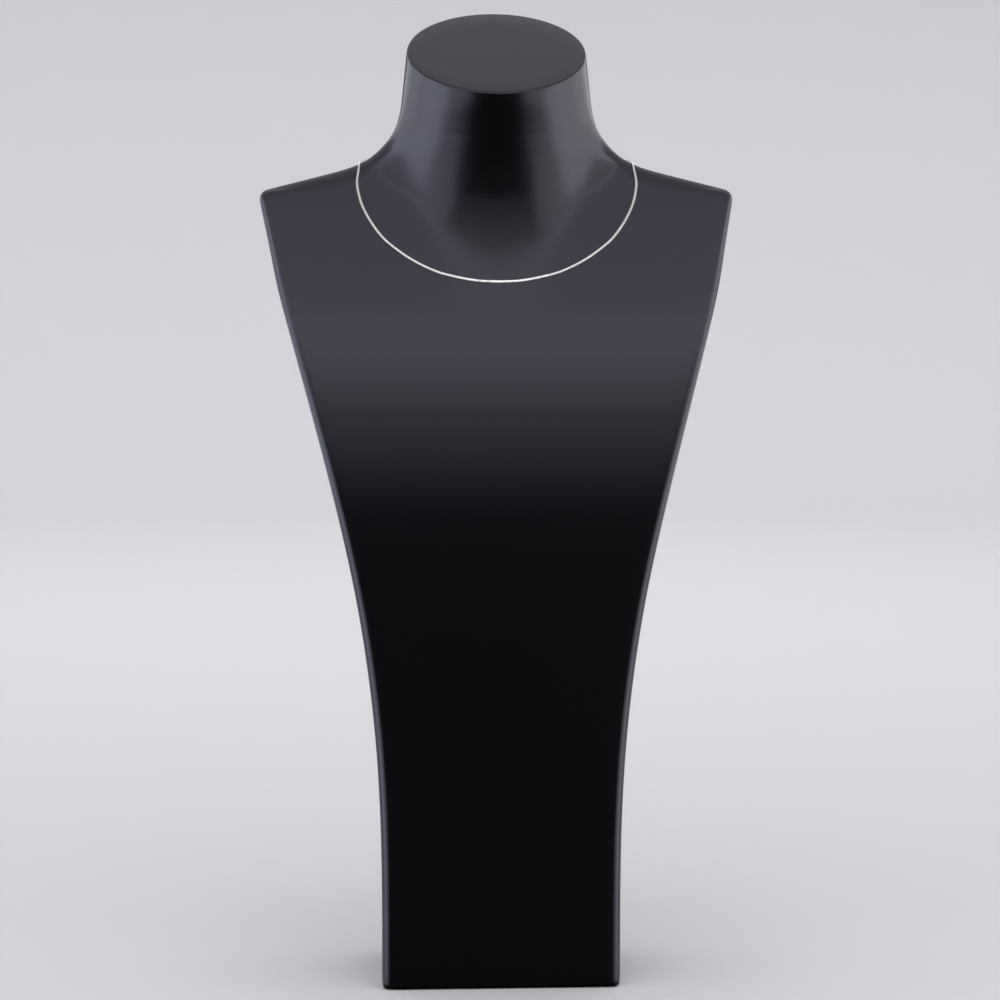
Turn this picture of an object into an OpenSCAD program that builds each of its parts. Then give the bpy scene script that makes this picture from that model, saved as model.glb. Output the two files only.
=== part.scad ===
// Box chain necklace laid round a plain black neck bust.
// Millimetres, +Z up. The bust's front faces -Y, and its base stands on the floor at z = 0.

/* [Bust] */
// Width of the base
base_w = 124; // [116:1:132]
// Depth of the base, front to back
base_d = 93; // [88:1:94]
// Width across the shoulders, measured to their sharp corners
shoulder_w = 248.4; // [236:0.2:260]
// Fall of the shoulder line towards its ends, in degrees
shoulder_fall = 14; // [13:1:16]
// Radius of the front edges
edge_r = 5; // [4.5:0.5:5.5]
// Radius of the back edges
back_r = 11; // [8:0.5:12]
// Radius of the edge round the foot
foot_r = 2.5; // [1:0.5:4]
// Reach of the soft hollow where neck and shoulders meet
blend_r = 21; // [18:1:27]
// Reach of the soft hollow where neck and chest meet
chest_blend = 24; // [20:1:30]
// Slant of the neck's flat top, in degrees
top_slant = 30.7; // [27:0.1:32]
// Chamfer round the neck's flat top
top_chamfer = 0.6; // [0.4:0.1:1]

/* [Chain] */
// Thickness of the box chain
chain_d = 1.1; // [1:0.1:1.2]
// Gap between the chain and the bust
chain_gap = 0.2; // [0.15:0.05:0.3]

/* [Clasp] */
// Outside diameter of the spring ring
ring_od = 5.7; // [5.5:0.1:6]
// Thickness of the spring ring's tube
ring_wire = 1; // [0.9:0.1:1.1]
// Thickness of the wire of the small rings
loop_wire = 0.5; // [0.45:0.05:0.55]
// Clearance where two rings hang in each other
link_gap = 0.08; // [0.05:0.01:0.1]

/* [Hidden] */

// Share of the way from base width to shoulder width: height, share
flare = [[0, 0], [50, 0], [90, 0.011], [130, 0.048], [170, 0.119], [210, 0.225], [250, 0.367],
    [290, 0.529], [330, 0.703], [360, 0.83], [385, 0.913], [405, 0.982], [411, 1]];

// The neck: height, half width, half width of its root in the shoulders, centre y, depth before and behind
// the centre, and depth of the root before the centre
neck = [
    [350, 46, 40, 14, 26, 20, 4],
    [364, 47, 48, 13.5, 27.2, 21.5, 5],
    [376, 47.5, 54, 13, 27.6, 23, 6],
    [388, 47.5, 60, 12, 27.2, 25.5, 8],
    [400, 47.3, 66, 11.5, 26.9, 30.5, 10.5],
    [412, 47, 72, 11, 26.8, 33.4, 12.5],
    [424, 46.8, 69.2, 10.5, 27.5, 35.3, 14],
    [430, 46.8, 63, 10, 28.6, 35.6, 14.5],
    [440, 47, 52.5, 9, 30.6, 35.7, 15],
    [450, 47.5, 45, 8.2, 31.8, 35.6, 15],
    [460, 47.6, 40, 7.6, 33.2, 35.7, 15],
    [470, 47.2, 36, 7.2, 34.6, 35.8, 15],
    [481.6, 46.5, 30, 7, 36, 36, 15]
];
// Depth of that root behind the centre, and the reach of the hollow between it and the neck
root_back = 20;
root_blend = 24;
// Heights where the neck starts inside the body, the shoulders end and the top starts to slant,
// and the height of the top's middle
neck_z0 = 350;
ridge_z = 424;
slant_z0 = 440;
neck_z1 = 481.6;

// The chest is upright below the first height and curves back from there to the second
lean_z = 232;
lean_top = 426;
lean_curve = 0.00146;
// The back is upright below this height and curves forward above it
back_z = 300;
back_curve = 0.00018;
// Above this height the back of the shoulders rolls forward
roll_z = 412;
roll_curve = 0.05;
// The back is narrower than the front by this much on each side: at the foot, below the corner and above it
foot_draft = 3;
shoulder_draft = 8;
top_draft = 13;
// Above the ridge the body's section gives way to the neck's over this height
merge_h = 12;
// The middle that sections are measured from moves back to the neck's own over this height
centre_z = 415;
centre_h = 40;
// Least half width of a section of the body
least_w = 12;
// Share by which the points along a flat front or back crowd towards its middle
crowding = 0.6;

// Corner of the shoulder in the outline from the front, and the directions that its two edges face
corner = [shoulder_w / 2, 410.4];
side_face = -11.9;
top_face = 90 - shoulder_fall;
side_n = [cos(side_face), sin(side_face)];
top_n = [cos(top_face), sin(top_face)];
corner_v =
    edge_r * [top_n[1] - side_n[1], side_n[0] - top_n[0]] / (side_n[0] * top_n[1] - side_n[1] * top_n[0]);
corner_c = corner - corner_v;
side_end_z = corner_c[1] + edge_r * sin(side_face);
top_start_z = corner_c[1] + edge_r * sin(top_face);

// The chain's route round the right half of the bust: direction about the route's axis, from 0 at the front
// to 180 at the back, and height. The left half mirrors it.
route = [
    [0, 364.4],
    [19, 365.1],
    [38, 368],
    [47, 371],
    [56, 376.3],
    [64, 384],
    [68.5, 390.6],
    [72.5, 397.9],
    [76, 405.3],
    [79, 412.7],
    [82, 420.6],
    [85.5, 424.5],
    [90, 425.4],
    [96, 425],
    [105, 424],
    [115, 423.2],
    [126, 422.8],
    [138, 422.7],
    [151, 422.7],
    [164, 422.7]
];
axis_y = 15;
route_steps = 2;
// Distances, up and round, at which the surface is felt for its facing
near_z = 0.7;
near_a = 1.2;
tube_sides = 8;
nape_z = 422.7;
// Where the chain bends round the shoulder it stands off a little more
bend_a = 106;
bend_span = 50;
bend_lift = 0.45;
// Direction from which the chain rises off the nape to its fastening, and how far round that goes
rise_a = 150;
rise_span = 14;

// The rings of the fastening, from the middle of the clasp's ring along X
ring_r = (ring_od - ring_wire) / 2;
loop_r = ring_wire / 2 + loop_wire / 2 + 2.5 * link_gap;
eye_r = 0.75;
jump_r = 1.2;
wire_r = loop_wire / 2;
right_loop = ring_r + loop_r - wire_r - ring_wire / 2 - link_gap;
eye = -ring_r - eye_r;
jump = eye - (eye_r - 2 * wire_r - link_gap) - jump_r;
left_loop = jump - jump_r - (loop_r - 2 * wire_r - link_gap);
fastening = right_loop - left_loop + 2 * loop_r;
stud_d = 0.7;
stud_h = 1.1;
stud_turn = 50;
clasp_x = fastening / 2 - loop_r - right_loop;

// Steps along half a section, from the middle of the front to the middle of the back
front_n = 12;
edge_n = 4;
side_n_steps = 1;
back_edge_n = 4;
back_n = 7;
half_n = front_n + edge_n + side_n_steps + back_edge_n + back_n;

function clamp01(t) = max(0, min(1, t));
function ease(t) = let (u = clamp01(t)) u * u * (3 - 2 * u);
function mix(a, b, t) = a + (b - a) * t;
function unit(v) = v / norm(v);
function smooth_max(a, b, k) = max(a, b) + k / 6 * pow(max(1 - abs(a - b) / k, 0), 3);

// Smooth curve through column c of a table whose first column is the height
function span(rows, z, i = 0) = i >= len(rows) - 2 || z < rows[i + 1][0] ? i : span(rows, z, i + 1);
function rise(rows, i, c) =
    let (a = rows[max(i - 1, 0)], b = rows[min(i + 1, len(rows) - 1)]) (b[c] - a[c]) / (b[0] - a[0]);
function track(rows, z, c) =
    let (i = span(rows, z), a = rows[i], b = rows[i + 1], h = b[0] - a[0], t = clamp01((z - a[0]) / h))
    a[c] * (2 * t * t * t - 3 * t * t + 1) + b[c] * (3 * t * t - 2 * t * t * t)
    + h * rise(rows, i, c) * (t * t * t - 2 * t * t + t) + h * rise(rows, i + 1, c) * (t * t * t - t * t);

// Outline of the body from the front: half width at a height, and the direction that the edge faces
function body_half_w(z) =
    z < side_end_z ? mix(base_w / 2, shoulder_w / 2, track(flare, z, 1))
    : z < top_start_z ? corner_c[0] + sqrt(pow(edge_r, 2) - pow(z - corner_c[1], 2))
    : corner[0] - (z - corner[1]) / tan(shoulder_fall);
function edge_face(z) =
    z < side_end_z ? 0
    : z < top_start_z ? max(0, asin((z - corner_c[1]) / edge_r))
    : top_face;
function front_y(z) = -base_d / 2 + lean_curve * pow(max(min(z, lean_top) - lean_z, 0), 2);
function back_y(z) =
    base_d / 2 - back_curve * pow(max(z - back_z, 0), 2) - roll_curve * pow(max(z - roll_z, 0), 2);
function draft(z) =
    mix(foot_draft, shoulder_draft, clamp01(z / side_end_z))
    + (top_draft - shoulder_draft) * ease((z - side_end_z) / edge_r);

// Distance from the middle of a flat front or back at a share of its half width
function along(t, far, deep) = mix(far * t, deep * tan(atan2(far, deep) * t), crowding);

// Half of the body's section, from the middle of the front to the middle of the back
function body_half(z) =
    let (
        w = max(body_half_w(z), least_w),
        f = front_y(z),
        b = back_y(z),
        wb = w - min(draft(z), w / 3),
        rx = min(edge_r / cos(edge_face(z)), w * 0.8),
        by = min(back_r, (b - f - edge_r) * 0.6),
        bx = min(by / cos(edge_face(z)), wb * 0.6),
        deep = (b - f) / 2
    )
    concat(
        [for (i = [0 : front_n - 1]) [along(i / front_n, w - rx, deep), f]],
        [for (i = [0 : edge_n - 1])
            let (a = 90 * i / edge_n) [w - rx + rx * sin(a), f + edge_r * (1 - cos(a))]],
        [for (i = [0 : side_n_steps - 1]) mix([w, f + edge_r], [wb, b - by], i / side_n_steps)],
        [for (i = [0 : back_edge_n - 1])
            let (a = 90 * i / back_edge_n) [wb - bx + bx * cos(a), b - by + by * sin(a)]],
        [for (i = [0 : back_n]) [along(1 - i / back_n, wb - bx, deep), b]]
    );

// The neck's section at a height: two half ellipses that meet at its widest line
function neck_at(z) = [for (c = [1 : 6]) track(neck, z, c)];
function neck_half(n) =
    [for (i = [0 : half_n])
        let (a = 180 * i / half_n) [n[0] * sin(a), n[2] - (a < 90 ? n[3] : n[4]) * cos(a)]];
// How far an ellipse, such an oval, or the neck with its root reaches from the point [0, c] in direction u
function ellipse_reach(w, d, y, c, u) =
    let (
        p = pow(u[0] / w, 2) + pow(u[1] / d, 2),
        q = 2 * u[1] * (c - y) / (d * d),
        s = pow((c - y) / d, 2) - 1
    )
    (sqrt(q * q - 4 * p * s) - q) / (2 * p);
function oval_reach(w, y, front, back, c, u) =
    let (s = ellipse_reach(w, front, y, c, u)) c + s * u[1] < y ? s : ellipse_reach(w, back, y, c, u);
function neck_reach(n, c, u) =
    smooth_max(
        oval_reach(n[0], n[2], n[3], n[4], c, u),
        oval_reach(n[1], n[2], n[5], root_back, c, u),
        root_blend
    );

// Half of the whole bust's section: neck and body run into each other in a smooth hollow
function section(z) =
    let (
        n = neck_at(z),
        c = mix((front_y(z) + back_y(z)) / 2, n[2], ease((z - centre_z) / centre_h)),
        m = ease((z - ridge_z) / merge_h),
        body = body_half(z),
        core = m > 0 ? neck_half(n) : body
    )
    [for (i = [0 : half_n])
        let (
            p = mix(body[i], mix([0, c], core[i], 0.5), m) - [0, c],
            u = p / norm(p),
            k = max(1 - m, 0.01) * mix(blend_r, chest_blend, pow(max(-u[1], 0), 2)),
            r = z < neck_z0 ? norm(p) : smooth_max(norm(p), neck_reach(n, c, u), k)
        )
        [r * u[0], c + r * u[1]]];

// A whole row of the bust: the section pulled in by inset, lifted and slanted
function slant(z) = tan(top_slant) * clamp01((z - slant_z0) / (neck_z1 - slant_z0));
function row(z, lift = 0, inset = 0) =
    let (
        half = section(z),
        mid = track(neck, z, 3),
        far = half[half_n][1],
        near = half[0][1],
        centre = (far + near) / 2,
        wide = max([for (p = half) p[0]]),
        sx = 1 - inset / wide,
        sy = 1 - 2 * inset / (far - near),
        loop = concat(half, [for (i = [half_n - 1 : -1 : 1]) [-half[i][0], half[i][1]]])
    )
    [for (p = loop) let (y = centre + (p[1] - centre) * sy) [p[0] * sx, y, z + lift + slant(z) * (y - mid)]];

// Heights of the rows
body_levels = [for (z = [10 : 20 : 330]) z];
chest_levels = [for (z = [344 : 7 : 400]) z];
corner_levels = [for (i = [0 : 4]) corner_c[1] + edge_r * sin(mix(side_face, top_face, i / 4))];
shoulder_levels = [for (i = [1 : 6]) mix(top_start_z, ridge_z, i / 6)];
neck_levels = [for (i = [1 : 18]) mix(ridge_z, neck_z1, i / 18)];
levels = concat(body_levels, chest_levels, corner_levels, shoulder_levels, neck_levels);
bust_rows = concat(
    [for (a = [0 : 30 : 90]) row(0, foot_r * (1 - cos(a)), foot_r * (1 - sin(a)))],
    [for (z = levels) row(z)],
    [row(neck_z1, top_chamfer, top_chamfer)]
);

// Faces of a stack of closed rings with n points each, the left half a mirror image of the right one
function skin_faces(rings, n) =
    [for (i = [0 : rings - 2]) for (j = [0 : n - 1])
        let (a = i * n + j, b = i * n + (j + 1) % n)
        each j < n / 2 ? [[a, a + n, b + n], [a, b + n, b]] : [[a, a + n, b], [a + n, b + n, b]]];
function middle(points) = (points[0] + points[len(points) / 2]) / 2;
function cap_fans(rings, n) =
    let (base = rings * n, top = base + 1, o = (rings - 1) * n)
    [for (j = [0 : n - 1]) let (k = (j + 1) % n) each [[base, j, k], [top, o + k, o + j]]];
function cap_faces(rings, n) = [[for (j = [0 : n - 1]) j], [for (j = [n - 1 : -1 : 0]) (rings - 1) * n + j]];

// Where the half section is met from the route's axis, in a direction from the front
function bearing(p) = atan2(p[0], axis_y - p[1]);
function side_of(half, a, i = 0) = i >= half_n - 1 || bearing(half[i + 1]) > a ? i : side_of(half, a, i + 1);
function seat(a, z) =
    let (
        half = section(z),
        i = side_of(half, a),
        p = half[i] - [0, axis_y],
        e = half[i + 1] - half[i],
        u = [sin(a), -cos(a)],
        r = (p[0] * e[1] - p[1] * e[0]) / (u[0] * e[1] - u[1] * e[0])
    )
    [r * u[0], axis_y + r * u[1], z];
function seat_normal(a, z) =
    let (
        up = seat(a, z + near_z) - seat(a, z - near_z),
        across = seat(a + near_a, z) - seat(max(a - near_a, 0), z)
    )
    a == 0 ? unit([0, -up[2], up[1]]) : unit(cross(across, up));

// The chain's middle line: seated on the bust, and lifted to the fastening's level at its ends
base_lift = chain_d / 2 + chain_gap;
clasp_lift = loop_r + wire_r + chain_gap;
clasp_y = seat(180, nape_z)[1] + clasp_lift;
function lift(a) =
    mix(base_lift, clasp_lift, ease((a - rise_a) / rise_span))
    + bend_lift * ease(1 - abs(a - bend_a) / bend_span);
route_a = concat(
    [for (i = [0 : len(route) - 2]) for (k = [0 : route_steps - 1])
        mix(route[i][0], route[i + 1][0], k / route_steps)],
    [route[len(route) - 1][0]]
);
half_line = concat(
    [for (a = route_a) let (z = track(route, a, 1)) seat(a, z) + lift(a) * seat_normal(a, z)],
    [[fastening / 2, clasp_y, nape_z]]
);
half_out = concat(
    [for (a = route_a) seat_normal(a, track(route, a, 1))],
    [[0, 1, 0]]
);
function flip(p) = [-p[0], p[1], p[2]];
last = len(half_line) - 1;
line = concat([for (i = [last : -1 : 1]) flip(half_line[i])], half_line);
out = concat([for (i = [last : -1 : 1]) flip(half_out[i])], half_out);
function tube_ring(i) =
    let (
        t = i == 0 || i == len(line) - 1 ? [-1, 0, 0] : unit(line[i + 1] - line[i - 1]),
        b = unit(cross(t, out[i])),
        n = cross(b, t)
    )
    [for (j = [0 : tube_sides - 1])
        let (a = 360 * (j + 0.5) / tube_sides) line[i] + chain_d / 2 * (cos(a) * n + sin(a) * b)];

module neck_bust() {
    n = 2 * half_n;
    rows = len(bust_rows);
    color("#1c1c20")
    polyhedron(
        concat([for (r = bust_rows) each r], [middle(bust_rows[0]), middle(bust_rows[rows - 1])]),
        concat(skin_faces(rows, n), cap_fans(rows, n))
    );
}

module wire_ring(r, thick) {
    rotate_extrude($fn = 48)
    translate([r, 0])
    circle(d = thick, $fn = 24);
}

// A ring that stands out from the nape, and one that lies along it
module upright_ring(x, r, thick) {
    translate([x + clasp_x, clasp_y, nape_z])
    wire_ring(r, thick);
}
module flat_ring(x, r, thick) {
    translate([x + clasp_x, clasp_y, nape_z])
    rotate([90, 0, 0])
    wire_ring(r, thick);
}

module chain() {
    color("#c9c8c6")
    union() {
        polyhedron(
            [for (i = [0 : len(line) - 1]) each tube_ring(i)],
            concat(skin_faces(len(line), tube_sides), cap_faces(len(line), tube_sides))
        );
        upright_ring(right_loop, loop_r, loop_wire);
        upright_ring(left_loop, loop_r, loop_wire);
    }
}

module jump_ring() {
    color("#c9c8c6")
    flat_ring(jump, jump_r, loop_wire);
}

module clasp() {
    color("#c9c8c6")
    union() {
        flat_ring(0, ring_r, ring_wire);
        upright_ring(eye, eye_r, loop_wire);
        translate([clasp_x, clasp_y, nape_z])
        rotate([0, -stud_turn, 0])
        translate([ring_r, 0, 0])
        rotate([0, 90, 0])
        cylinder(d = stud_d, h = stud_h, $fn = 24);
    }
}

neck_bust();
chain();
jump_ring();
clasp();
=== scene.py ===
# %% [markdown]
# # A box chain necklace on a neck bust
# The piece is a fine necklace: a box chain, also called a Venetian chain, worn closed round a plain black
# display bust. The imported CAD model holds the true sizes. This lesson gives it the looks: a smooth
# lacquered bust, every link of the chain, the spring ring at the nape, the studio round them and the
# camera.

import math
import random
from bisect import bisect_left

import bmesh
import bpy
from mathutils import Matrix, Vector
from mathutils.bvhtree import BVHTree


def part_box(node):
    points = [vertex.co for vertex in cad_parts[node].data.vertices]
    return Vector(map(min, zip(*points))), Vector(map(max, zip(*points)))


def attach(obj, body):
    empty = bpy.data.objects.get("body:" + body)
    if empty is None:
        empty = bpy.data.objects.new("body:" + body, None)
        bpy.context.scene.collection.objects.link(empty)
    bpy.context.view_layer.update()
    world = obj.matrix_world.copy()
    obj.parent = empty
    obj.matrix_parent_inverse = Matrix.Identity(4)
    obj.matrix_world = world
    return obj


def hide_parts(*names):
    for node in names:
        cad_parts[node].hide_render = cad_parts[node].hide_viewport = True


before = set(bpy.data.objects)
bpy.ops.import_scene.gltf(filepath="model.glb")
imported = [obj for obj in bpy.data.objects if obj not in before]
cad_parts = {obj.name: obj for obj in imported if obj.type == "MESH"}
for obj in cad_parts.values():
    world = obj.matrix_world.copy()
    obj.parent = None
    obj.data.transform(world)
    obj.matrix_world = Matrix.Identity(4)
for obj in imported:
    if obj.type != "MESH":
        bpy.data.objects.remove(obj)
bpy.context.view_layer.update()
MM = 0.001

# %% [markdown]
# ## Helpers
# Colours are written as sRGB hex, as a paint chart gives them, and shaders want linear light, so one
# function turns them. Another adds a shader node with its settings and its links in one call.

# %% Colour and node helpers
def linear(hex_colour):
    """Linear RGBA of an sRGB hex colour."""
    channels = [int(hex_colour[i : i + 2], 16) / 255 for i in (1, 3, 5)]
    return [c / 12.92 if c <= 0.04045 else ((c + 0.055) / 1.055) ** 2.4 for c in channels] + [1]


def add_node(tree, kind, inputs=None, **settings):
    """A node of that kind. inputs maps a socket's name or number to a value or to the socket feeding it."""
    node = tree.nodes.new(kind)
    for name, value in settings.items():
        setattr(node, name, value)
    for socket, value in (inputs or {}).items():
        if isinstance(value, bpy.types.NodeSocket):
            tree.links.new(value, node.inputs[socket])
        else:
            node.inputs[socket].default_value = value
    return node


def new_material(name, **shader):
    """A material with a Principled shader whose sockets hold the values given, and its node tree."""
    material = bpy.data.materials.new(name)
    material.use_nodes = True
    tree = material.node_tree
    tree.nodes.clear()
    surface = add_node(tree, "ShaderNodeBsdfPrincipled", {k.replace("_", " "): v for k, v in shader.items()})
    add_node(tree, "ShaderNodeOutputMaterial", {"Surface": surface.outputs["BSDF"]})
    return material, tree, surface


# %% Piece helpers
CRISP_DEG = 50


def keep_edges_crisp(bm):
    """Smooth shading that still breaks at edges sharper than CRISP_DEG."""
    for face in bm.faces:
        face.smooth = True
    for edge in bm.edges:
        edge.smooth = not (edge.is_manifold and edge.calc_face_angle(0) > math.radians(CRISP_DEG))


def make_piece(name, bm, material, slot=None, stands_for=None):
    """The bmesh as a finished object that rides on the body and takes a CAD node's place."""
    mesh = bpy.data.meshes.new(name)
    bm.to_mesh(mesh)
    bm.free()
    piece = bpy.data.objects.new(name, mesh)
    bpy.context.scene.collection.objects.link(piece)
    mesh.materials.append(material)
    if slot:
        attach(piece, "root")
    if stands_for:
        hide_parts(stands_for)
    print(name, len(mesh.vertices), "vertices,", len(mesh.polygons), "faces")
    return piece


# %% [markdown]
# ## The bust's finish
# The bust is cast resin with a sprayed black lacquer, flatted to a soft sheen. The spray dries with a faint
# orange peel about a millimetre across, and a black bust always carries a few specks of dust. The lacquer
# is a dielectric, so it stays black where it faces the dark room, and turns grey where a broad light grazes
# it.

# %% Sprayed black lacquer
PEEL_MM = 1.1
MOTTLE_MM = 60
SPECK_GRID_MM = 22
SPECK_R_MM = 0.35
SPECK_SHARE = 0.12


def sprayed_black_lacquer():
    """Black with a faint mottle, a few specks of dust and orange peel."""
    material, tree, surface = new_material(
        "black_lacquer_sprayed", Roughness=0.25, IOR=1.5,
        Specular_IOR_Level=0.62, Specular_Tint=linear("#e9e7ff"),
    )
    place = add_node(tree, "ShaderNodeTexCoord").outputs["Object"]
    mottle = add_node(tree, "ShaderNodeTexNoise", {
        "Vector": place, "Scale": 1 / (MOTTLE_MM * MM), "Detail": 3,
    })
    tone = add_node(tree, "ShaderNodeMix", {
        "Factor": mottle.outputs["Fac"], "A": linear("#08080a"), "B": linear("#0a0a0d"),
    }, data_type="RGBA")
    cells = add_node(tree, "ShaderNodeTexVoronoi", {"Vector": place, "Scale": 1 / (SPECK_GRID_MM * MM)})
    near = add_node(tree, "ShaderNodeMath", {
        0: cells.outputs["Distance"], 1: SPECK_R_MM / SPECK_GRID_MM,
    }, operation="LESS_THAN")
    pick = add_node(tree, "ShaderNodeSeparateColor", {"Color": cells.outputs["Color"]})
    chosen = add_node(tree, "ShaderNodeMath", {0: pick.outputs["Red"], 1: SPECK_SHARE}, operation="LESS_THAN")
    speck = add_node(tree, "ShaderNodeMath", {0: near.outputs[0], 1: chosen.outputs[0]}, operation="MULTIPLY")
    dusty = add_node(tree, "ShaderNodeMix", {
        "Factor": speck.outputs[0], "A": tone.outputs["Result"], "B": linear("#7c7c7c"),
    }, data_type="RGBA")
    peel = add_node(tree, "ShaderNodeTexNoise", {
        "Vector": place, "Scale": 1 / (PEEL_MM * MM), "Detail": 2,
    })
    bump = add_node(tree, "ShaderNodeBump", {
        "Height": peel.outputs["Fac"], "Strength": 0.2, "Distance": 0.02 * MM,
    })
    tree.links.new(dusty.outputs["Result"], surface.inputs["Base Color"])
    tree.links.new(bump.outputs["Normal"], surface.inputs["Normal"])
    return material


lacquer = sprayed_black_lacquer()
print(lacquer.name, len(lacquer.node_tree.nodes), "nodes")

# %% [markdown]
# ## The bust
# On the real object the bust is one casting: a flat front that leans back over the chest, square shoulders
# with rounded edges, and an oval neck cut off at a slant. Its CAD skin is the right shape but made of flat
# triangles. A merged copy of that skin, its triangles joined back to quads and its two flat ends made one
# face each, is an even cage, and a Subdivision Surface rounds it. Creases keep the rim of the neck and the
# foot crisp.

# %% Bust cage and surface
MERGE_GAP = 0.001 * MM
RIM_CREASE = 0.9
FAN_FACES = 30
FRONT_SLACK = 0.05
ROUNDING_LEVELS = 2


def merged_copy(node):
    """A CAD node's skin with the corners of its loose triangles merged."""
    bm = bmesh.new()
    bm.from_mesh(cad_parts[node].data)
    bmesh.ops.remove_doubles(bm, verts=bm.verts, dist=MERGE_GAP)
    return bm


def join_flat_ends(bm):
    """Makes each flat end, a fan of triangles round one middle vertex, one face, and creases its rim."""
    creases = bm.edges.layers.float.new("crease_edge")
    ends = []
    for hub in [v for v in bm.verts if len(v.link_faces) > FAN_FACES]:
        ends += bmesh.ops.dissolve_faces(bm, faces=hub.link_faces[:])["region"]
    for edge in {e for end in ends for e in end.edges}:
        edge[creases] = RIM_CREASE
    return ends


def in_order(ring):
    """The vertices of a ring, from the middle of the front round to it again."""
    middle = sum((v.co for v in ring), Vector()) / len(ring)

    # The slack, in radians, keeps the middle vertex first if rounding puts it just left of the middle.
    def turn_from_front(v):
        return (math.atan2(v.co.x - middle.x, middle.y - v.co.y) + FRONT_SLACK) % math.tau

    return sorted(ring, key=turn_from_front)


def dissolve_diagonals(bm, rim):
    """Turns the skin's triangles back to quads: between two rings, only the edges up each column stay."""
    ring, seen, diagonals = in_order(rim), set(rim), []
    while above := {e.other_vert(v) for v in ring for e in v.link_edges} - seen:
        column = dict(zip(ring, in_order(above)))
        diagonals += [e for v in ring for e in v.link_edges if e.other_vert(v) in above - {column[v]}]
        ring = list(column.values())
        seen |= above
    bmesh.ops.dissolve_edges(bm, edges=diagonals)


def neck_bust():
    """The smooth bust, rounded from its CAD skin."""
    bm = merged_copy("neck_bust")
    foot = min(join_flat_ends(bm), key=lambda end: end.calc_center_median().z)
    dissolve_diagonals(bm, foot.verts)
    print("cage:", [len([f for f in bm.faces if len(f.verts) == n]) for n in (3, 4)], "triangles and quads")
    for face in bm.faces:
        face.smooth = True
    piece = make_piece("lacquered_neck_bust", bm, lacquer, "bust", "neck_bust")
    smooth = piece.modifiers.new("smooth", "SUBSURF")
    smooth.levels = smooth.render_levels = ROUNDING_LEVELS
    return piece


bust = neck_bust()
skin = BVHTree.FromObject(bust, bpy.context.evaluated_depsgraph_get())

# %% [markdown]
# ## The metal
# Such a chain is silver with a bright rhodium plate, or polished steel. The plate is almost white and
# mirror-like, with hair-fine marks from the tumbling drum that polished it, which blur each glint a little.

# %% Polished white metal
TUMBLE_MM = 0.12


def polished_white_metal():
    """A bright white metal with hair-fine marks."""
    material, tree, surface = new_material(
        "white_metal_polished", Base_Color=linear("#f1f0ef"), Metallic=1.0, Roughness=0.16,
    )
    place = add_node(tree, "ShaderNodeTexCoord").outputs["Object"]
    marks = add_node(tree, "ShaderNodeTexNoise", {
        "Vector": place, "Scale": 1 / (TUMBLE_MM * MM), "Detail": 1,
    })
    bump = add_node(tree, "ShaderNodeBump", {
        "Height": marks.outputs["Fac"], "Strength": 0.15, "Distance": 0.004 * MM,
    })
    tree.links.new(bump.outputs["Normal"], surface.inputs["Normal"])
    return material


white_metal = polished_white_metal()

# %% [markdown]
# ## Where the chain lies
# A fine chain has no stiffness: it hangs in a curve over the chest, climbs to the crest of the shoulder and
# goes round the nape. Its route is a short list, as in the CAD source: a direction about an upright axis
# inside the neck, from 0 at the front to 180 at the back, and a height. A smooth curve through the list,
# cast outwards onto the bust's own surface, lays the chain exactly where a real one would rest.

# %% Route of the chain
CHAIN_D = 1.1 * MM
CHAIN_GAP = 0.08 * MM
AXIS_Y = 15 * MM
NAPE_Z = 422.7 * MM
BEND_AT = 106
BEND_SPAN = 50
BEND_LIFT = 0.15 * MM
RISE_FROM = 150
RISE_SPAN = 14
LOOP_LIFT = 0.2 * MM
# Direction in degrees and height in metres.
ROUTE = [
    (0, 0.3644),
    (19, 0.3651),
    (38, 0.368),
    (47, 0.371),
    (56, 0.3763),
    (64, 0.384),
    (68.5, 0.3906),
    (72.5, 0.3979),
    (76, 0.4053),
    (79, 0.4127),
    (82, 0.4206),
    (85.5, 0.4245),
    (90, 0.4254),
    (96, 0.425),
    (105, 0.424),
    (115, 0.4232),
    (126, 0.4228),
    (138, 0.4227),
    (151, 0.4227),
    (164, 0.4227),
]


def ease(t):
    """Rises smoothly from 0 to 1 as t does."""
    t = max(0, min(1, t))
    return t * t * (3 - 2 * t)


def route_height(direction):
    """Height of the route at a direction, on a smooth curve through its rows."""
    i = max(k for k in range(len(ROUTE) - 1) if ROUTE[k][0] <= direction)
    (a0, z0), (a1, z1) = ROUTE[i], ROUTE[i + 1]

    def rise(k):
        before, after = ROUTE[max(k - 1, 0)], ROUTE[min(k + 1, len(ROUTE) - 1)]
        return (after[1] - before[1]) / (after[0] - before[0])

    h = a1 - a0
    t = (direction - a0) / h
    return (
        z0 * (2 * t**3 - 3 * t**2 + 1) + z1 * (3 * t**2 - 2 * t**3)
        + h * rise(i) * (t**3 - 2 * t**2 + t) + h * rise(i + 1) * (t**3 - t**2)
    )


def seat(direction, height):
    """The bust's surface and its normal, straight out from the axis."""
    a = math.radians(direction)
    outwards = Vector((math.sin(a), -math.cos(a), 0))
    point, normal, _, _ = skin.ray_cast(Vector((0, AXIS_Y, height)), outwards)
    return point, normal if normal.dot(outwards) > 0 else -normal


# %% [markdown]
# ## The fastening
# The clasp is hidden behind the neck. A necklace this fine has a spring ring: a round tube with a sliding
# rod and a small thumb stud, an eyelet soldered to it, and a jump ring to one end of the chain. Each end of
# the chain closes in a soldered loop. All of them are rings of round wire, and the sizes are the CAD's own.

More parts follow.
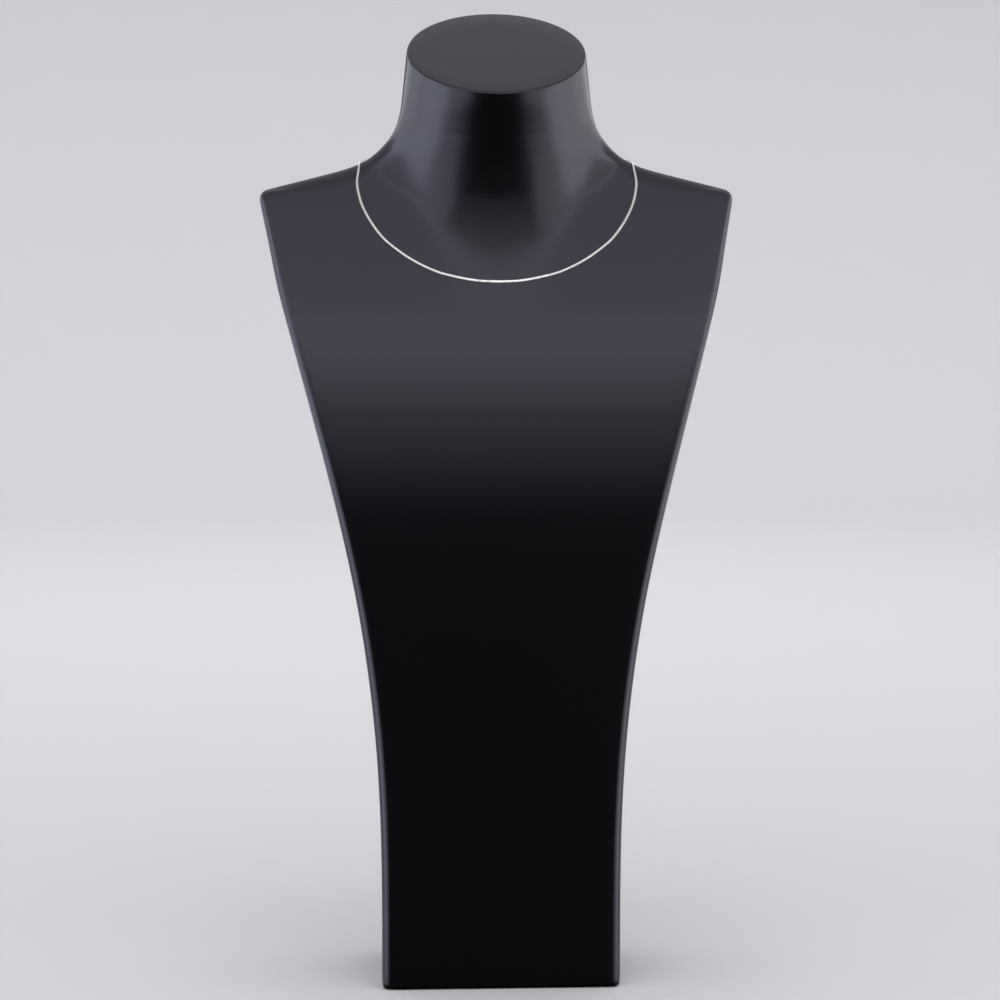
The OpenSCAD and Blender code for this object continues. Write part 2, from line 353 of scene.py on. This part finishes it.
# %% Sizes of the fastening
RING_R = 2.35 * MM
RING_WIRE = 1.0 * MM
WIRE = 0.5 * MM
LOOP_R = 0.95 * MM
EYE_R = 0.75 * MM
JUMP_R = 1.2 * MM
LINK_GAP = 0.08 * MM
RIGHT_LOOP = RING_R + LOOP_R - WIRE / 2 - RING_WIRE / 2 - LINK_GAP
EYE = -RING_R - EYE_R
JUMP = EYE - (EYE_R - WIRE - LINK_GAP) - JUMP_R
LEFT_LOOP = JUMP - JUMP_R - (LOOP_R - WIRE - LINK_GAP)
FASTENING = RIGHT_LOOP - LEFT_LOOP + 2 * LOOP_R
CLASP_X = FASTENING / 2 - LOOP_R - RIGHT_LOOP
ring_low, ring_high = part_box("jump_ring")
CLASP_Y = (ring_low.y + ring_high.y) / 2
print("fastening", round(FASTENING / MM, 2), "mm, its plane at y =", round(CLASP_Y / MM, 2), "mm")

# %% [markdown]
# ## One box link
# Each link is a short strip of flat metal bent round to a square. Links stand alternately edge-on and
# face-on, the walls of each passing through the opening of the next. A link starts as one square face: its
# corners are beveled round, its rim is inset, its middle is removed and the rim is extruded to the strip's
# width. That is only 48 faces, because the chain needs more than five hundred of them.

# %% Box link
STRIP_T = 0.2 * MM
STRIP_W = 0.6 * MM
CORNER_R = 0.26 * MM
LINK_PLAY = 0.01 * MM
PITCH = CHAIN_D - 2 * STRIP_T - LINK_PLAY


def box_link():
    """One link, flat in the XY plane, its middle at the origin."""
    bm = bmesh.new()
    bmesh.ops.create_grid(bm, x_segments=1, y_segments=1, size=CHAIN_D / 2)
    bmesh.ops.bevel(bm, geom=bm.verts[:], offset=CORNER_R, offset_type="OFFSET", segments=2, profile=0.5,
                    affect="VERTICES", material=-1)
    middle = bm.faces[:]
    bmesh.ops.inset_region(bm, faces=middle, thickness=STRIP_T, use_even_offset=True, use_boundary=True)
    bmesh.ops.delete(bm, geom=middle, context="FACES")
    walls = bmesh.ops.extrude_face_region(bm, geom=bm.faces[:])["geom"]
    raised = [v for v in walls if isinstance(v, bmesh.types.BMVert)]
    bmesh.ops.translate(bm, verts=raised, vec=(0, 0, STRIP_W))
    bmesh.ops.translate(bm, verts=bm.verts, vec=(0, 0, -STRIP_W / 2))
    bmesh.ops.recalc_face_normals(bm, faces=bm.faces)
    keep_edges_crisp(bm)
    return bm


link = box_link()
open_edges = [e for e in link.edges if not e.is_manifold]
print("one link has", len(link.faces), "faces and", len(open_edges), "open edges")

# %% [markdown]
# ## The chain
# The links are laid along the route at their pitch, each turned a quarter from the one before. A real chain
# never lies perfectly true: each link is tilted by a degree or two within its play, and that is what makes
# it sparkle. The random tilts are seeded, so the chain is the same every time.

# %% Middle line of the chain
NORMAL_PASSES = 40
POINT_PASSES = 8


def lift_at(direction):
    """Height of the chain's middle over the surface: more round the shoulder, and most at the fastening."""
    base = CHAIN_D / 2 + CHAIN_GAP
    top = LOOP_R + WIRE / 2 + LOOP_LIFT
    rise = (top - base) * ease((direction - RISE_FROM) / RISE_SPAN)
    bend = BEND_LIFT * ease(1 - abs(direction - BEND_AT) / BEND_SPAN)
    return base + rise + bend


def smoothed(vectors, passes):
    """The list with each vector drawn to the mean of its neighbours, pass after pass, and its ends kept."""
    for _ in range(passes):
        middle = [(a + 2 * b + c) / 4 for a, b, c in zip(vectors, vectors[1:], vectors[2:])]
        vectors = [vectors[0]] + middle + [vectors[-1]]
    return vectors


def mirrored(vectors):
    """The list of one side, led by its mirror image."""
    return [Vector((-v.x, v.y, v.z)) for v in vectors[:0:-1]] + vectors


def middle_line(step=0.5):
    """Points and normals of the whole chain, from its left end over the chest to its right end."""
    directions = [i * step for i in range(int(ROUTE[-1][0] / step) + 1)]
    seats = [seat(d, route_height(d)) for d in directions]
    normals = smoothed(mirrored([normal for _, normal in seats]), NORMAL_PASSES)
    points = smoothed(mirrored([point for point, _ in seats]), POINT_PASSES)
    lifts = [lift_at(d) for d in directions[:0:-1] + directions]
    rows = [(p + n.normalized() * lift, n.normalized()) for p, n, lift in zip(points, normals, lifts)]
    end = Vector((FASTENING / 2, CLASP_Y, NAPE_Z))
    return [(end * Vector((-1, 1, 1)), Vector((0, 1, 0)))] + rows + [(end, Vector((0, 1, 0)))]


line = middle_line()
run = [0.0]
for (p, _), (q, _) in zip(line, line[1:]):
    run.append(run[-1] + (q - p).length)
chain_length = run[-1]
closed_length = chain_length + FASTENING
print("chain", round(chain_length / MM, 1), "mm, closed", round(closed_length / MM, 1), "mm")

# %% Lay the links
CHAIN_SEED = 11
ROLL_DEG = 2.5
SWING_DEG = 1.5


def at_distance(s):
    """Point, direction and normal of the line at a distance along it."""
    i = min(bisect_left(run, s, lo=1), len(run) - 1) - 1
    t = (s - run[i]) / (run[i + 1] - run[i])
    (p, n), (q, m) = line[i], line[i + 1]
    return p.lerp(q, t), (q - p).normalized(), n.lerp(m, t).normalized()


def lay_links():
    """All links of the chain, each turned a quarter from the one before and a little askew."""
    chance = random.Random(CHAIN_SEED)
    count = round((chain_length - CHAIN_D) / PITCH) + 1
    pitch = (chain_length - CHAIN_D) / (count - 1)
    chain = bmesh.new()
    mesh = bpy.data.meshes.new("one_link")
    link.to_mesh(mesh)
    for i in range(count):
        point, along, up = at_distance(CHAIN_D / 2 + i * pitch)
        side = up.cross(along).normalized()
        up = along.cross(side)
        place = Matrix((along, side, up)).transposed().to_4x4()
        place.translation = point
        tilt = Matrix.Rotation(math.radians(90 * (i % 2) + chance.gauss(0, ROLL_DEG)), 4, "X")
        tilt = tilt @ Matrix.Rotation(math.radians(chance.gauss(0, SWING_DEG)), 4, "Y")
        tilt = tilt @ Matrix.Rotation(math.radians(chance.gauss(0, SWING_DEG)), 4, "Z")
        first = len(chain.verts)
        chain.from_mesh(mesh)
        chain.verts.ensure_lookup_table()
        bmesh.ops.transform(chain, matrix=place @ tilt, verts=chain.verts[first:])
    bpy.data.meshes.remove(mesh)
    print(count, "links at a pitch of", round(pitch / MM, 3), "mm")
    return chain


# %% [markdown]
# ## Rings of round wire
# A ring is a circle of wire spun about its axis. The same function makes the end loops, the jump ring, the
# eyelet and the spring ring's tube.

# %% Wire rings
def add_ring(bm, x, radius, wire, upright, steps=40, sides=12):
    """Adds a closed ring to bm, standing out from the nape if upright, and flat along it if not."""
    circle = bmesh.ops.create_circle(bm, segments=sides, radius=wire / 2)["verts"]
    bmesh.ops.rotate(bm, verts=circle, matrix=Matrix.Rotation(math.radians(90), 3, "X"))
    bmesh.ops.translate(bm, verts=circle, vec=(radius, 0, 0))
    first = len(bm.verts) - sides
    edges = list({e for v in circle for e in v.link_edges})
    bmesh.ops.spin(bm, geom=circle + edges, axis=(0, 0, 1), cent=(0, 0, 0), angle=math.tau, steps=steps,
                   use_merge=True)
    bm.verts.ensure_lookup_table()
    new = bm.verts[first:]
    if not upright:
        bmesh.ops.rotate(bm, verts=new, matrix=Matrix.Rotation(math.radians(90), 3, "X"))
    bmesh.ops.translate(bm, verts=new, vec=(CLASP_X + x, CLASP_Y, NAPE_Z))
    faces = list({f for v in new for f in v.link_faces})
    for face in faces:
        face.smooth = True
    bmesh.ops.recalc_face_normals(bm, faces=faces)


chain_mesh = lay_links()
add_ring(chain_mesh, RIGHT_LOOP, LOOP_R, WIRE, upright=True)
add_ring(chain_mesh, LEFT_LOOP, LOOP_R, WIRE, upright=True)
make_piece("box_chain", chain_mesh, white_metal, "chain", "chain")

jump_mesh = bmesh.new()
add_ring(jump_mesh, JUMP, JUMP_R, WIRE, upright=False)
make_piece("jump_ring_wire", jump_mesh, white_metal, "clasp", "jump_ring")

# %% Spring ring
STUD_D = 0.7 * MM
STUD_H = 1.1 * MM
STUD_ROUND = 0.2 * MM
STUD_REACH = 2 * MM
STUD_TURN = 50


def spring_ring():
    """The ring's tube, its eyelet and its thumb stud, which is made at the origin and then put in place."""
    bm = bmesh.new()
    add_ring(bm, 0, RING_R, RING_WIRE, upright=False, steps=64, sides=20)
    add_ring(bm, EYE, EYE_R, WIRE, upright=True)
    stud = bmesh.ops.create_cone(bm, cap_ends=True, segments=20, radius1=STUD_D / 2, radius2=STUD_D / 2,
                                 depth=STUD_H)["verts"]
    tip = [f for v in stud for f in v.link_faces if f.normal.z > 0.9]
    rim = list({e for f in tip for e in f.edges})
    bmesh.ops.bevel(bm, geom=rim, offset=STUD_ROUND, segments=3, profile=0.5, affect="EDGES", material=-1)
    stud = [v for v in bm.verts if v.co.length < STUD_REACH]
    bmesh.ops.translate(bm, verts=stud, vec=(0, 0, RING_R + STUD_H / 2))
    bmesh.ops.rotate(bm, verts=stud, matrix=Matrix.Rotation(math.radians(90 - STUD_TURN), 3, "Y"))
    bmesh.ops.translate(bm, verts=stud, vec=(CLASP_X, CLASP_Y, NAPE_Z))
    keep_edges_crisp(bm)
    return bm


make_piece("spring_ring_clasp", spring_ring(), white_metal, "clasp", "clasp")

# %% [markdown]
# ## The studio
# The floor and backdrop are one sheet of pale paper that sweeps up in a wide curve all round, so there is
# no corner behind the bust. A profile of floor, curve and wall is spun about the upright axis. The paper is
# fully matt. It isn't mirrored and casts no shadow, so that the walls of light at the sides can go on below
# it.

# %% Paper sweep
PAPER_R = 2.3
SWEEP_R = 0.9
PAPER_H = 1.7
CLOUD_MM = 40
WELD_GAP = 0.1 * MM


def pale_paper():
    """Matt paper whose tone varies very slightly."""
    material, tree, surface = new_material("pale_paper_matt", Roughness=0.9, Specular_IOR_Level=0.0)
    place = add_node(tree, "ShaderNodeTexCoord").outputs["Object"]
    cloud = add_node(tree, "ShaderNodeTexNoise", {
        "Vector": place, "Scale": 1 / (CLOUD_MM * MM), "Detail": 4,
    })
    tone = add_node(tree, "ShaderNodeMix", {
        "Factor": cloud.outputs["Fac"], "A": linear("#cbcacd"), "B": linear("#cccbce"),
    }, data_type="RGBA")
    tree.links.new(tone.outputs["Result"], surface.inputs["Base Color"])
    return material


def paper_sweep(steps=96, curve=16):
    """Floor, curve and wall: a profile drawn by extruding and spinning one corner, then spun to a sheet."""
    bm = bmesh.new()
    tip = bmesh.ops.create_vert(bm, co=(0, 0, 0))["vert"]
    tip = bmesh.ops.extrude_vert_indiv(bm, verts=tip)["verts"]
    bmesh.ops.translate(bm, verts=tip, vec=(PAPER_R, 0, 0))
    tip = bmesh.ops.spin(bm, geom=tip, cent=(PAPER_R, 0, SWEEP_R), axis=(0, -1, 0), angle=math.pi / 2,
                         steps=curve)["geom_last"]
    tip = bmesh.ops.extrude_vert_indiv(bm, verts=tip)["verts"]
    bmesh.ops.translate(bm, verts=tip, vec=(0, 0, PAPER_H - SWEEP_R))
    bmesh.ops.spin(bm, geom=bm.verts[:] + bm.edges[:], cent=(0, 0, 0), axis=(0, 0, 1), angle=math.tau,
                   steps=steps, use_merge=True)
    bmesh.ops.remove_doubles(bm, verts=bm.verts, dist=WELD_GAP)
    bmesh.ops.recalc_face_normals(bm, faces=bm.faces)
    for face in bm.faces:
        face.smooth = True
    return bm


paper = make_piece("paper_sweep", paper_sweep(), pale_paper())
paper.visible_glossy = False
paper.visible_shadow = False

# %% [markdown]
# ## The light
# A black lacquer shows only what it mirrors, so most of the lights are there to be mirrored. The leaning
# chest mirrors four boxes in front of it. Two hang level overhead and two stand behind the camera, and the
# lowest ends a little over the camera's height, so the chest fades out downwards and the upright front stays
# almost black. A wide box overhead, which nothing mirrors, lights the paper, and one more washes the wall
# behind.

# %% Soft boxes
def soft_box(name, place, width, height, glow, aim, tint="#ffffff"):
    """A soft box, unseen by the camera. Its face glows as white paper does in full light if glow is 1."""
    light = bpy.data.lights.new(name, "AREA")
    light.color = linear(tint)[:3]
    light.shape = "RECTANGLE"
    light.size, light.size_y = width, height
    light.energy = glow * math.pi * width * height
    box = bpy.data.objects.new(name, light)
    box.location = place
    box.rotation_euler = (Vector(aim) - Vector(place)).to_track_quat("-Z", "Y").to_euler()
    box.visible_camera = False
    bpy.context.scene.collection.objects.link(box)
    return box


overhead = soft_box("soft_box_overhead", (0, 0, 2.6), width=4.0, height=4.0, glow=0.95, aim=(0, 0, 0))
overhead.visible_glossy = False

# Name, place, width, height, glow and the point it is aimed at.
SOFT_BOXES = [
    ("soft_box_top_front", (0, -1.75, 1.25), 2.0, 0.7, 1.25, (0, -1.75, 0)),
    ("soft_box_top", (0, -1.0, 1.25), 2.0, 0.8, 0.45, (0, -1.0, 0)),
    ("soft_box_front_high", (0, -2.2, 1.08), 1.9, 0.45, 0.5, (0, 0, 1.08)),
    ("soft_box_front_low", (0, -2.2, 0.68), 1.9, 0.35, 0.36, (0, 0, 0.68)),
    ("soft_box_back_wall", (0, 1.0, 1.9), 2.6, 0.4, 5.5, (0, 3.2, 0.9)),
]
for name, place, width, height, glow, aim in SOFT_BOXES:
    soft_box(name, place, width, height, glow, aim)

# %% [markdown]
# ## The walls of light
# On each side a wall of boxes curves from 30 degrees off the front to 150, behind the bust. The neck and
# the rounded edges mirror it as grey bands and bright strips, and the dark gap between the two walls, in
# front, is the dark band down the middle of the neck. The walls show only in what mirrors them and leave
# the paper alone. They go on below the floor, in place of the floor that a real bust would mirror, and are
# dimmer at the bottom. The left ones are a little cooler and brighter than the right ones.

# %% Side walls of light
WALL_AWAY = 1.3
RIM_AWAY = 0.6
WALL_FOOT = -0.6
WALL_TOP = 1.1
LEFT_TINT = "#f4f8ff"
RIGHT_TINT = "#fffefc"
RIGHT_SHARE = 0.93
# Name, start and end in degrees off the front, distance, low edge, high edge and glow.
SIDE_WALLS = [
    ("near_low", 30, 55, WALL_AWAY, WALL_FOOT, -0.3, 0.6),
    ("near", 30, 55, WALL_AWAY, -0.3, WALL_TOP, 1.38),
    ("middle_low", 55, 85, WALL_AWAY, WALL_FOOT, -0.3, 1.2),
    ("middle", 55, 85, WALL_AWAY, -0.3, WALL_TOP, 2.83),
    ("far_low", 85, 115, WALL_AWAY, WALL_FOOT, -0.1, 0.8),
    ("far", 85, 115, WALL_AWAY, -0.1, WALL_TOP, 2.2),
    ("rim_low", 115, 150, WALL_AWAY, WALL_FOOT, -0.1, 0.8),
    ("rim", 115, 150, WALL_AWAY, -0.1, 0.2, 1.9),
    ("rim_high", 115, 150, RIM_AWAY, 0.36, 0.7, 1.6),
]


def side_wall(name, side, start, end, away, low, high, glow, tint):
    """One box of a wall, on the left if side is -1 and on the right if it is 1, that faces the bust."""
    turn = math.radians((start + end) / 2)
    width = 2 * away * math.tan(math.radians((end - start) / 2))
    middle = (low + high) / 2
    place = (side * away * math.sin(turn), -away * math.cos(turn), middle)
    wall = soft_box(name, place, width, high - low, glow, (0, 0, middle), tint)
    wall.visible_diffuse = False


for part, start, end, away, low, high, glow in SIDE_WALLS:
    side_wall(f"soft_box_left_{part}", -1, start, end, away, low, high, glow, LEFT_TINT)
    side_wall(f"soft_box_right_{part}", 1, start, end, away, low, high, RIGHT_SHARE * glow, RIGHT_TINT)

# %% Room light
DARK_BELOW = 0.1
LIGHT_ABOVE = 0.7
ROOM_GLOW = 0.76


def room_light():
    """A room that is dark level with the bust and glows dimly overhead."""
    world = bpy.data.worlds.new("studio_room")
    bpy.context.scene.world = world
    world.use_nodes = True
    tree = world.node_tree
    tree.nodes.clear()
    place = add_node(tree, "ShaderNodeSeparateXYZ", {
        "Vector": add_node(tree, "ShaderNodeTexCoord").outputs["Object"],
    })
    above = add_node(tree, "ShaderNodeMapRange", {
        "Value": place.outputs["Z"],
        "From Min": DARK_BELOW, "From Max": LIGHT_ABOVE, "To Min": 0.0, "To Max": ROOM_GLOW,
    }, interpolation_type="SMOOTHSTEP")
    glow = add_node(tree, "ShaderNodeBackground", {
        "Color": linear("#fdfcff"), "Strength": above.outputs["Result"],
    })
    add_node(tree, "ShaderNodeOutputWorld", {"Surface": glow.outputs["Background"]})


room_light()

# %% [markdown]
# ## The camera
# A long lens, level with the shoulders and a little to the left, looks slightly down at the bust. The
# numbers were fitted to the outline of the bust, so the picture has the same perspective as the real one.

# %% Camera
CAMERA_DISTANCE = 1.75
CAMERA_HEIGHT = 0.43
CAMERA_TURN = -3.0
LENS_MM = 121.03
SENSOR_MM = 36
AIM_POINT = Vector((0.00151, -0.00008, 0.2496))

camera = bpy.data.objects.new("camera", bpy.data.cameras.new("camera"))
camera.data.lens = LENS_MM
camera.data.sensor_width = SENSOR_MM
turn = math.radians(CAMERA_TURN)
camera.location = (CAMERA_DISTANCE * math.sin(turn), -CAMERA_DISTANCE * math.cos(turn), CAMERA_HEIGHT)
camera.rotation_euler = (AIM_POINT - camera.location).to_track_quat("-Z", "Y").to_euler()
bpy.context.scene.collection.objects.link(camera)
bpy.context.scene.camera = camera
bpy.context.scene.view_settings.view_transform = "Standard"
print("camera at", [round(c, 3) for c in camera.location])
